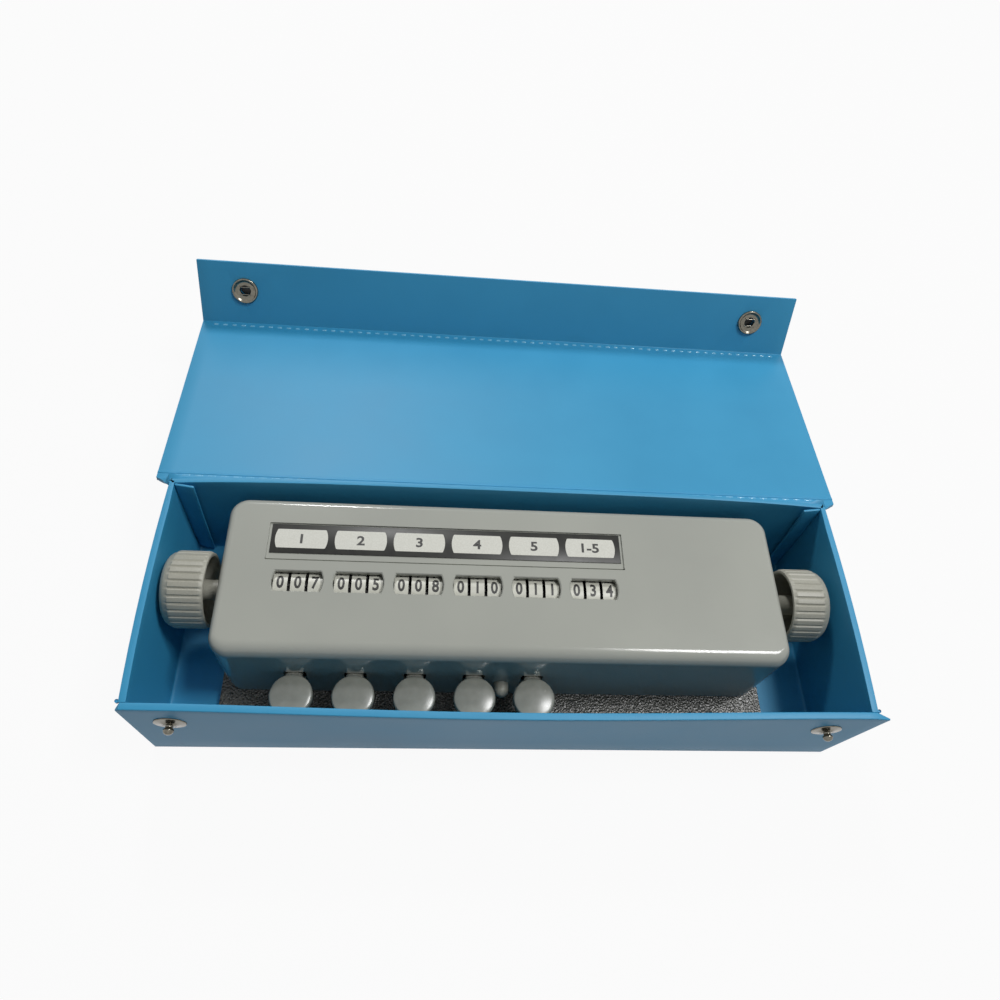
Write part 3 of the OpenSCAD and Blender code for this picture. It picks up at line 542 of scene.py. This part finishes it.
# Screen ink: flat and slightly chalky, with the fine speckle of the mesh.
pale_ink, surface, place = new_material("pale screen ink", Roughness=0.5, IOR=1.5)
speckle = add(pale_ink, "TexNoise", {"Vector": (place, 3), "Scale": 1 / (0.6 * mm), "Detail": 2})
drive(pale_ink, surface, "Base Color", two_tones(pale_ink, speckle, "#CACAC0", "#D6D6CD"))
drive(pale_ink, surface, "Normal", add(pale_ink, "Bump", {
    "Height": (speckle, 0), "Strength": 0.1, "Distance": 0.02 * mm}))
black_ink, surface, place = new_material("black screen ink", Roughness=0.45, IOR=1.5)
speckle = add(black_ink, "TexNoise", {"Vector": (place, 3), "Scale": 1 / (0.6 * mm), "Detail": 2})
drive(black_ink, surface, "Base Color", two_tones(black_ink, speckle, "#0F0F0E", "#1B1B18"))


def number(name, text, height, thick, stretch=1.0, bold=0.0):
    """Flat numbers centred on the origin, as a mesh."""
    object_mode()
    bpy.ops.object.text_add(location=(0, 0, 0))
    text_object = bpy.context.active_object
    text_object.data.body = text
    text_object.data.size = height / 0.73  # a digit stands 0.73 of the font's size
    text_object.data.align_x = "CENTER"
    text_object.data.resolution_u = 3
    text_object.data.extrude = thick / 2
    text_object.data.offset = bold
    bpy.ops.object.convert(target="MESH")
    piece = bpy.context.active_object
    piece.name = piece.data.name = name
    close_up(0.001 * mm)
    xs = [v.co.x for v in piece.data.vertices]
    ys = [v.co.y for v in piece.data.vertices]
    shift = Vector(((min(xs) + max(xs)) / 2, (min(ys) + max(ys)) / 2, 0))
    reshape(lambda p: Vector(((p.x - shift.x) * stretch, p.y - shift.y, p.z)))
    return piece


strip_y, ink_z = (strip_low.y + strip_high.y) / 2, strip_high.z
pill_r, pill_half = 10.7 * mm, 4.3 * mm
for row, text in enumerate(("1", "2", "3", "4", "5", "1-5")):
    x = rows[row] - 0.3 * mm
    pill = round_bar(f"label_field_{row + 1}", (x, strip_y, ink_z - 0.1 * mm),
                     (x, strip_y, ink_z + 0.05 * mm), pill_r, 64)
    trim(strip_y, pill_half)
    pick("EDGE", lambda e, m: lies_along(e, 2) and near(abs(m.y - strip_y), pill_half, 0.05 * mm))
    bpy.ops.mesh.bevel(offset=0.6 * mm, segments=3, affect="EDGES")
    settle(pill, "counter", pale_ink)
    figure = number(f"label_number_{row + 1}", text, 4.3 * mm, 0.04 * mm, stretch=1.15, bold=0.16 * mm)
    figure.data.transform(Matrix.Translation((x, strip_y, ink_z + 0.07 * mm)))
    settle(figure, "counter", black_ink, smooth=0)

# ---------------------------------------------------------------- number wheels
# Eighteen moulded wheels with a printed row of digits round each rim stand close
# together on the shafts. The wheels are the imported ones; the digits are added.

wheel_r, wheel_step = 10.4 * mm, 6.95 * mm
# Polystyrene: a soft off-white rim between black sides and gears. The distance
# from the shaft's middle tells one from the other.
wheel_plastic, surface, place = new_material("white-banded black polystyrene", Roughness=0.35, IOR=1.59)
haze = add(wheel_plastic, "TexNoise", {"Vector": (place, 3), "Scale": 1 / (3 * mm), "Detail": 3})
band = two_tones(wheel_plastic, haze, "#C2C2B6", "#CECEC3")
centred = add(wheel_plastic, "Mapping", {"Vector": (place, 3), "Location": (0, -shaft_y, -shaft_z)})
flat = add(wheel_plastic, "VectorMath", {0: (centred, 0), 1: (0, 1, 1)}, operation="MULTIPLY")
reach = add(wheel_plastic, "VectorMath", {0: (flat, 0)}, operation="LENGTH")
rim = add(wheel_plastic, "Math", {0: (reach, 1), 1: wheel_r - 0.1 * mm}, operation="GREATER_THAN")
tint = add(wheel_plastic, "Mix", {"Factor": (rim, 0), 6: colour("#1B1B1A"), 7: (band, 0)},
           data_type="RGBA")
drive(wheel_plastic, surface, "Base Color", tint, 2)
drive(wheel_plastic, surface, "Roughness", add(wheel_plastic, "MapRange", {
    "Value": (haze, 0), "To Min": 0.3, "To Max": 0.42}))
drive(wheel_plastic, surface, "Normal", add(wheel_plastic, "Bump", {
    "Height": (haze, 0), "Strength": 0.05, "Distance": 0.05 * mm}))


def finish(material, *nodes):
    """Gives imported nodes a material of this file."""
    for name in nodes:
        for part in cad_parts[name].material_slots:
            part.material = material


shown = ("007", "005", "008", "010", "011", "034")
digits = []
for d in range(10):
    digits.append(number(f"digit_{d}", str(d), 5.3 * mm, 0.06 * mm, stretch=0.8, bold=0.22 * mm))
    cut_through(1, -2, -1, 0, 1, 2)
    object_mode()
for row in range(6):
    counter = str(row + 1) if row < 5 else "total"
    for place_in, part in enumerate(("hundreds", "tens", "units")):
        node = f"wheel_{counter}_{part}"
        x = rows[row] + (place_in - 1) * wheel_step
        ring = []
        for d in range(10):
            copy = digits[d].copy()
            copy.data = digits[d].data.copy()
            bpy.context.collection.objects.link(copy)
            turn = radians(36) * (int(shown[row][place_in]) - d) - radians(0.5)
            for corner in copy.data.vertices:
                p = corner.co
                angle = pi / 2 + turn + p.y / wheel_r
                reach = wheel_r + p.z + 0.005 * mm
                corner.co = (x + p.x, shaft_y - reach * cos(angle), shaft_z + reach * sin(angle))
            ring.append(copy)
        only(ring[0])
        for copy in ring[1:]:
            copy.select_set(True)
        bpy.ops.object.join()
        ring[0].name = ring[0].data.name = f"{node}_digits"
        settle(ring[0], node, black_ink, smooth=0)
        finish(wheel_plastic, node)
for d in digits:
    bpy.data.objects.remove(d, do_unlink=True)

# ---------------------------------------------------------------- base plate
# A flat steel plate in black crackle enamel, which reaches out under the keys. The
# plates inside are screwed to it, and it stands on four rubber feet.

# Crackle enamel: wrinkles of about 0.75 mm in relief. Among them are small lighter spots, painted
# sparks that stand in for the light the crests catch, a painted highlight.
crackle, surface, place = new_material("black crackle enamel on steel", Roughness=0.3, IOR=1.55)
warp = add(crackle, "TexNoise", {"Vector": (place, 3), "Scale": 1 / (0.9 * mm), "Detail": 3})
drift = add(crackle, "VectorMath", {0: (warp, 1), 1: [0.6 * mm] * 3, 2: (place, 3)},
            operation="MULTIPLY_ADD")
wrinkles_and_painted_sparks = add(crackle, "TexVoronoi", {"Vector": (drift, 0), "Scale": 1 / (0.75 * mm), "Randomness": 1},
              feature="SMOOTH_F1")
# painted highlight: where the wrinkle pattern is low, the black is toned lighter as sparks
drive(crackle, surface, "Base Color", two_tones(crackle, wrinkles_and_painted_sparks, "#45453B", "#11120F", 0.15, 0.6))
drive(crackle, surface, "Roughness", add(crackle, "MapRange", {
    "Value": (warp, 0), "To Min": 0.2, "To Max": 0.36}))
drive(crackle, surface, "Normal", add(crackle, "Bump", {
    "Height": (wrinkles_and_painted_sparks, 0), "Strength": 1.0, "Distance": 0.26 * mm}))
finish(crackle, "base_plate")

# ---------------------------------------------------------------- steel inside
# Plates, rods, shafts, springs and screws are zinc-plated steel, turned or cut
# from bright sheet, and hardly show once the cover is on.

# Bright plating: reflections broken up along the rolling marks.
steel, surface, place = new_material("bright plated steel", Roughness=0.3, Metallic=1)
streak = add(steel, "Mapping", {"Vector": (place, 3), "Scale": (0.05, 1, 1)})
brush = add(steel, "TexNoise", {"Vector": (streak, 0), "Scale": 1 / (0.4 * mm), "Detail": 2})
drive(steel, surface, "Base Color", two_tones(steel, brush, "#B4B6B2", "#C8CAC6"))
drive(steel, surface, "Roughness", add(steel, "MapRange", {
    "Value": (brush, 0), "To Min": 0.22, "To Max": 0.4}))
drive(steel, surface, "Normal", add(steel, "Bump", {
    "Height": (brush, 0), "Strength": 0.15, "Distance": 0.02 * mm}))
finish(steel, "bearing_plates", "tie_rods", "key_rod", "pinion_rod", "detent_springs", "total_bar",
       "bell_posts", "bell_hammer", "reset_shaft_left", "reset_shaft_right", "base_screws",
       *[f"key_spring_{key}" for key in range(1, 6)])

# ---------------------------------------------------------------- small mouldings
# The transfer pinions are cream nylon, the feet are black rubber and the gong is
# pressed bell brass.

# Moulded nylon: warm cream, soft and waxy.
nylon, surface, place = new_material("cream moulded nylon", Roughness=0.45, IOR=1.53)
haze = add(nylon, "TexNoise", {"Vector": (place, 3), "Scale": 1 / (2 * mm), "Detail": 2})
drive(nylon, surface, "Base Color", two_tones(nylon, haze, "#D3C8A0", "#DED6B2"))
finish(nylon, "transfer_pinions")
# Moulded rubber: dull black, with hardly a highlight.
rubber, surface, place = new_material("black moulded rubber", Roughness=0.8, IOR=1.52)
haze = add(rubber, "TexNoise", {"Vector": (place, 3), "Scale": 1 / (1 * mm), "Detail": 4})
drive(rubber, surface, "Base Color", two_tones(rubber, haze, "#1E1E1E", "#2A2A2A"))
finish(rubber, "rubber_feet")
# Spun brass: a warm shine, slightly clouded.
brass, surface, place = new_material("spun bell brass", Roughness=0.28, Metallic=1)
haze = add(brass, "TexNoise", {"Vector": (place, 3), "Scale": 1 / (3 * mm), "Detail": 4})
drive(brass, surface, "Base Color", two_tones(brass, haze, "#C2AE78", "#D2C090"))
finish(brass, "bell_gong")

# ---------------------------------------------------------------- knobs
# The reset knobs are grey moulded cups with fine ribs, open towards the housing.
# The hub inside each cup is pressed onto its shaft.

# Moulded ABS: an eggshell sheen over a fine texture of 0.7 mm.
knob_plastic, surface, place = new_material("grey moulded ABS", Roughness=0.42, IOR=1.53)
haze = add(knob_plastic, "TexNoise", {"Vector": (place, 3), "Scale": 1 / (0.7 * mm), "Detail": 3})
drive(knob_plastic, surface, "Base Color", two_tones(knob_plastic, haze, "#9C9B8F", "#A6A599"))
drive(knob_plastic, surface, "Roughness", add(knob_plastic, "MapRange", {
    "Value": (haze, 0), "To Min": 0.38, "To Max": 0.5}))
drive(knob_plastic, surface, "Normal", add(knob_plastic, "Bump", {
    "Height": (haze, 0), "Strength": 0.1, "Distance": 0.03 * mm}))
finish(knob_plastic, "front_button")

# profile of a knob as (along, radius) from its hub, which runs on to the housing,
# round the cup to the closed end
outline = [
    (15.0, 0.0), (15.0, 2.55), (-3.5, 2.55), (-3.6, 2.7), (-3.6, 3.9), (-3.4, 4.1), (-0.2, 4.2),
    (15.2, 4.4), (15.4, 12.6), (14.6, 13.2), (1.0, 13.5), (0.15, 13.8), (0.0, 14.1),
    (0.0, 14.8), (0.2, 15.15), (0.6, 15.2), (1.3, 15.2), (2.0, 15.2), (4.6, 15.2), (7.4, 15.2),
    (10.4, 15.2), (12.6, 15.2), (13.4, 15.2), (14.0, 15.15), (15.2, 14.85), (16.3, 14.0),
    (17.1, 12.8), (17.6, 11.2), (17.8, 9.4), (17.8, 5.0), (17.8, 0.0)]
rib_count, rib_high, rib_floor = 32, 0.55 * mm, 14.7 * mm
rib_from, rib_to, rib_fade = 0.7, 14.0, 0.7


def spun(name, centre, axis, ways, outline, steps):
    """Closed piece spun round an axis from an outline in mm, measured along two ways."""
    def step(first, second):
        return [(first * u + second * v) * mm for u, v in zip(*ways)]
    object_mode()
    bpy.ops.mesh.primitive_plane_add(size=1 * mm, location=centre)
    piece = placed(name)
    bpy.ops.object.mode_set(mode="EDIT")
    bpy.ops.mesh.select_mode(type="VERT")
    bpy.ops.mesh.select_all(action="SELECT")
    bpy.ops.mesh.merge(type="CENTER")
    bpy.ops.transform.translate(value=step(*outline[0]))
    for (a0, b0), (a1, b1) in zip(outline, outline[1:]):
        bpy.ops.mesh.extrude_region_move(TRANSFORM_OT_translate={"value": step(a1 - a0, b1 - b0)})
    bpy.ops.mesh.select_all(action="SELECT")
    bpy.ops.mesh.spin(steps=steps, angle=2 * pi, center=centre, axis=axis)
    close_up(0.005 * mm)
    return piece


def ribbed(p, x, side):
    """Raises the ribs round a knob, fading out before both ends."""
    along = (p.x - x) * side / mm
    reach = Vector((p.y - shaft_y, p.z - shaft_z))
    if reach.length < rib_floor or along < 0.1:
        return p
    turn = (reach.angle_signed(Vector((0, 1))) * rib_count / (2 * pi)) % 1
    rib = max(0, min(1, (0.43 - abs(turn - 0.5)) / 0.12))
    fade = max(0, min(1, (along - rib_from) / rib_fade)) * max(0, min(1, (rib_to - along) / rib_fade))
    reach = reach * (1 + rib_high * rib * fade / reach.length)
    return Vector((p.x, shaft_y + reach.x, shaft_z + reach.y))


for name, x, side in (("knob_left", -121.8 * mm, -1), ("knob_right", 119.4 * mm, 1)):
    knob = spun(f"{name}_cup", (x, shaft_y, shaft_z), (1, 0, 0), ((side, 0, 0), (0, 0, 1)), outline,
                9 * rib_count)
    reshape(lambda p: ribbed(p, x, side))
    settle(knob, "reset_left" if side < 0 else "reset_right", knob_plastic, smooth=30)
    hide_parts(name)

# ---------------------------------------------------------------- key levers
# Each lever is a channel pressed from nickel-plated steel. It turns on a rod
# inside the housing and comes out of it through a slot.

# Nickel plate: cool, nearly sharp reflections, drawn out along the lever.
nickel, surface, place = new_material("nickel-plated pressed steel", Roughness=0.2, Metallic=1)
streak = add(nickel, "Mapping", {"Vector": (place, 3), "Scale": (1, 0.08, 1)})
brush = add(nickel, "TexNoise", {"Vector": (streak, 0), "Scale": 1 / (0.5 * mm), "Detail": 2})
drive(nickel, surface, "Base Color", two_tones(nickel, brush, "#96978E", "#A9AAA2"))
drive(nickel, surface, "Roughness", add(nickel, "MapRange", {
    "Value": (brush, 0), "To Min": 0.1, "To Max": 0.2}))
finish(nickel, *[f"key_lever_{key}" for key in range(1, 6)])

# the arm's back is pressed round where it leaves the housing
back_z, back_r, arm_top = 28.5 * mm, 3.38 * mm, 28.42 * mm
for key, x in enumerate(rows[:5]):
    crown = round_bar(f"lever_back_{key + 1}", (x, -29.6 * mm, back_z), (x, -23.0 * mm, back_z),
                      back_r, 48)
    pick("FACE", lambda f, m: True)
    bpy.ops.mesh.bisect(plane_co=(0, 0, arm_top), plane_no=(0, 0, 1), clear_inner=True, use_fill=True)
    pick("EDGE", lambda e, m: m.z > arm_top + 0.03 * mm and not lies_along(e, 1))
    bpy.ops.mesh.bevel(offset=0.15 * mm, segments=2, affect="EDGES")
    # under the cap it sinks into the flat of the arm
    reshape(lambda p: Vector((
        p.x, p.y, arm_top + (p.z - arm_top) * (0.24 if p.y > -26.8 * mm else 0.01))))
    settle(crown, f"key_{key + 1}", nickel, smooth=50, mend=True)

# ---------------------------------------------------------------- key caps
# The caps are glossy grey mouldings, slightly domed, with a rounded rim. Each is
# pressed onto the end of its lever.

# Polished ABS: a small bright highlight, a little softer where fingers rub.
cap_plastic, surface, place = new_material("glossy grey moulded ABS", Roughness=0.24, IOR=1.53)
haze = add(cap_plastic, "TexNoise", {"Vector": (place, 3), "Scale": 1 / (4 * mm), "Detail": 2})
drive(cap_plastic, surface, "Base Color", two_tones(cap_plastic, haze, "#7E7F76", "#888980"))
drive(cap_plastic, surface, "Roughness", add(cap_plastic, "MapRange", {
    "Value": (haze, 0), "To Min": 0.2, "To Max": 0.28}))
key_y, cap_low, cap_high, cap_r = -34.2 * mm, 28.5 * mm, 31.9 * mm, 8.45 * mm
for key, x in enumerate(rows[:5]):
    cap = round_bar(f"cap_{key + 1}", (x, key_y, cap_low), (x, key_y, cap_high), cap_r, 64)
    pick("FACE", lambda f, m: near(m.z, cap_high))
    for width, rise in ((1.6, 0.36), (2.0, 0.3), (2.0, 0.16), (1.6, 0.05)):
        bpy.ops.mesh.inset(thickness=width * mm, depth=0)
        bpy.ops.transform.translate(value=(0, 0, rise * mm))
    for level, room, soft, steps in ((cap_high, 0.02, 0.7, 4), (cap_low, 0.01, 0.3, 2)):
        pick("EDGE", lambda e, m: near(m.z, level, room * mm) and not lies_along(e, 2) and
             near((m.xy - Vector((x, key_y))).length, cap_r, 0.05 * mm))
        bpy.ops.mesh.bevel(offset=soft * mm, segments=steps, affect="EDGES")
    settle(cap, f"key_{key + 1}", cap_plastic)
    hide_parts(f"key_cap_{key + 1}")

# ---------------------------------------------------------------- snap fasteners
# The studs, sockets and eyelets are pressed from thin nickel-plated brass. The
# caps behind the sockets are moulded in the colour of the case.

# Nickel on brass: dark warm-grey reflections, clouded at 1 mm by handling.
snap_metal, surface, place = new_material("nickel-plated pressed brass", Roughness=0.22, Metallic=1)
haze = add(snap_metal, "TexNoise", {"Vector": (place, 3), "Scale": 1 / (1 * mm), "Detail": 3})
drive(snap_metal, surface, "Base Color", two_tones(snap_metal, haze, "#66635A", "#7B786E"))
drive(snap_metal, surface, "Roughness", add(snap_metal, "MapRange", {
    "Value": (haze, 0), "To Min": 0.12, "To Max": 0.26}))
finish(snap_metal, "case_eyelets")
finish(pvc_sheet, "case_caps")


def pressed(name, outline, way, steps=48):
    """Round pressing from an outline of (radius, height) in mm, put in its place by a matrix."""
    piece = spun(name, (0, 0, 0), (0, 0, 1), ((1, 0, 0), (0, 0, 1)), outline, steps)
    piece.data.transform(way)
    return piece


# The recess behind the spring: a matt, nearly black disc of painted shade, so that it looks deep.
shade, surface, place = new_material("painted shade inside a snap socket", Roughness=0.5, IOR=1.5)
haze = add(shade, "TexNoise", {"Vector": (place, 3), "Scale": 1 / (1 * mm), "Detail": 2})
drive(shade, surface, "Base Color", two_tones(shade, haze, "#0C0C0B", "#1A1A18"))
stud_z, leg_y, leg_z, leg_half = 38.4 * mm, 1.75 * mm, 1.15 * mm, 2.6 * mm
sockets, studs = [], []
for side, hand in hands:
    x = snap_x * side
    at = flap_way @ Matrix.Translation((x, snap_drop, 0))
    shell = pressed(f"socket_shell_{hand}", [
        (2.5, -0.7), (2.5, 0.7), (2.75, 0.95), (3.1, 0.95), (3.9, 0.85), (4.5, 0.9), (4.95, 1.15),
        (5.2, 1.6), (5.5, 1.8), (5.8, 1.8), (6.1, 1.6), (6.25, 1.25), (6.25, 0.8), (3.45, 0.8),
        (3.45, -0.7), (2.5, -0.7)], at)
    settle(shell, "flap", snap_metal, smooth=40)
    sockets.append(shell)
    # a disc of painted shade darkens the well, with the two legs of the spring across it
    shade_disc = pressed(f"socket_shade_disc_{hand}", [(0, -2.08), (2.45, -2.08), (2.45, -2.0), (0, -2.0)], at)
    settle(shade_disc, "flap", shade)
    for leg in (-1, 1):
        wire = round_bar(f"socket_spring_{hand}_{'near' if leg < 0 else 'far'}",
                         (-leg_half, leg * leg_y, leg_z), (leg_half, leg * leg_y, leg_z), 0.28 * mm, 16)
        cut_through(0, -1.5, -0.5, 0.5, 1.5)
        reshape(lambda p: Vector((p.x, p.y + leg * 0.3 * mm * (p.x / leg_half) ** 2, p.z)))
        wire.data.transform(at)
        settle(wire, "flap", snap_metal)
    at = Matrix.Translation((x, -wall_y, stud_z)) @ Matrix.Rotation(radians(90), 4, "X")
    stud = pressed(f"snap_stud_{hand}", [
        (0, 0), (5.8, 0), (6.0, 0.2), (5.9, 0.5), (5.2, 0.62), (4.2, 0.66), (3.2, 0.9), (2.4, 1.1),
        (2.2, 1.3), (1.5, 1.4), (1.35, 1.8), (1.45, 2.3), (1.8, 2.5), (2.0, 2.8), (1.95, 3.3),
        (1.7, 3.9), (1.3, 4.35), (0.7, 4.62), (0, 4.7)], at, 64)
    settle(stud, "case", snap_metal, smooth=60)
    studs.append(stud)
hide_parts("case_sockets")
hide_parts("case_studs")

# ---------------------------------------------------------------- floor and light
# A plain pale floor, one large soft lamp overhead to the right and a smaller one
# behind to the left, as in the photograph.

bpy.ops.mesh.primitive_plane_add(size=8, location=(0, 0, 0))
floor = placed("floor")


def seen_white(owner):
    """1 for the rays that come from the camera, a gloss or something clear, 0 for light."""
    rays = add(owner, "LightPath")
    seen = add(owner, "Math", {0: (rays, "Is Camera Ray"), 1: (rays, "Is Glossy Ray")},
               operation="MAXIMUM")
    return add(owner, "Math", {0: (seen, 0), 1: (rays, "Is Transmission Ray")}, operation="MAXIMUM")


# Matt paper: it keeps the object's shadow, and what looks at it sees it nearly white.
paper = bpy.data.materials.new("white paper floor")
paper.use_nodes = True
paper.node_tree.nodes.clear()
matt = add(paper, "BsdfDiffuse", {"Color": colour("#B8B8B8")})
glow = add(paper, "Emission", {"Color": (1, 1, 1, 1), "Strength": 1})
share = add(paper, "Math", {0: (seen_white(paper), 0), 1: 0.94}, operation="MULTIPLY")
mixed = add(paper, "MixShader", {0: (share, 0), 1: (matt, 0), 2: (glow, 0)})
add(paper, "OutputMaterial", {"Surface": (mixed, 0)})
floor.data.materials.append(paper)


def lamp(name, way, distance, side, power):
    """Square lamp that looks at the object from a direction."""
    light = bpy.data.lights.new(name, "AREA")
    light.shape, light.size, light.energy = "SQUARE", side, power
    holder = bpy.data.objects.new(name, light)
    bpy.context.collection.objects.link(holder)
    way = Vector(way).normalized()
    holder.location = Vector((0, 0, 0.03)) + way * distance
    holder.rotation_euler = way.to_track_quat("Z", "Y").to_euler()


lamp("lamp_overhead", (0.42, 0.08, 0.90), 1.6, 0.42, 14.8)
lamp("lamp_behind", (-0.16, 0.68, 0.72), 1.4, 0.16, 6.8)

world = bpy.data.worlds.new("pale room")
bpy.context.scene.world = world
world.use_nodes = True
world.node_tree.nodes.clear()
room = add(world, "Background", {"Color": colour("#E8EEF4"), "Strength": 0.1})
white = add(world, "Background", {"Color": (1, 1, 1, 1), "Strength": 1})
mixed = add(world, "MixShader", {0: (seen_white(world), 0), 1: (room, 0), 2: (white, 0)})
add(world, "OutputWorld", {"Surface": (mixed, 0)})

# ---------------------------------------------------------------- camera
# A wide lens close above the case, a little left of its middle and looking down
# past the front wall. Its place was fitted to the case, the keys and the windows.

lens = bpy.data.cameras.new("camera")
lens.sensor_fit, lens.sensor_width, lens.lens = "HORIZONTAL", 36, 28.313
lens.clip_start, lens.clip_end = 0.01, 20
camera = bpy.data.objects.new("camera", lens)
bpy.context.collection.objects.link(camera)
camera.location = (-0.037459, -0.126978, 0.343604)
camera.rotation_euler = (radians(30.696), radians(-5.931), radians(-0.933))
bpy.context.scene.camera = camera
bpy.context.scene.view_settings.view_transform = "Standard"
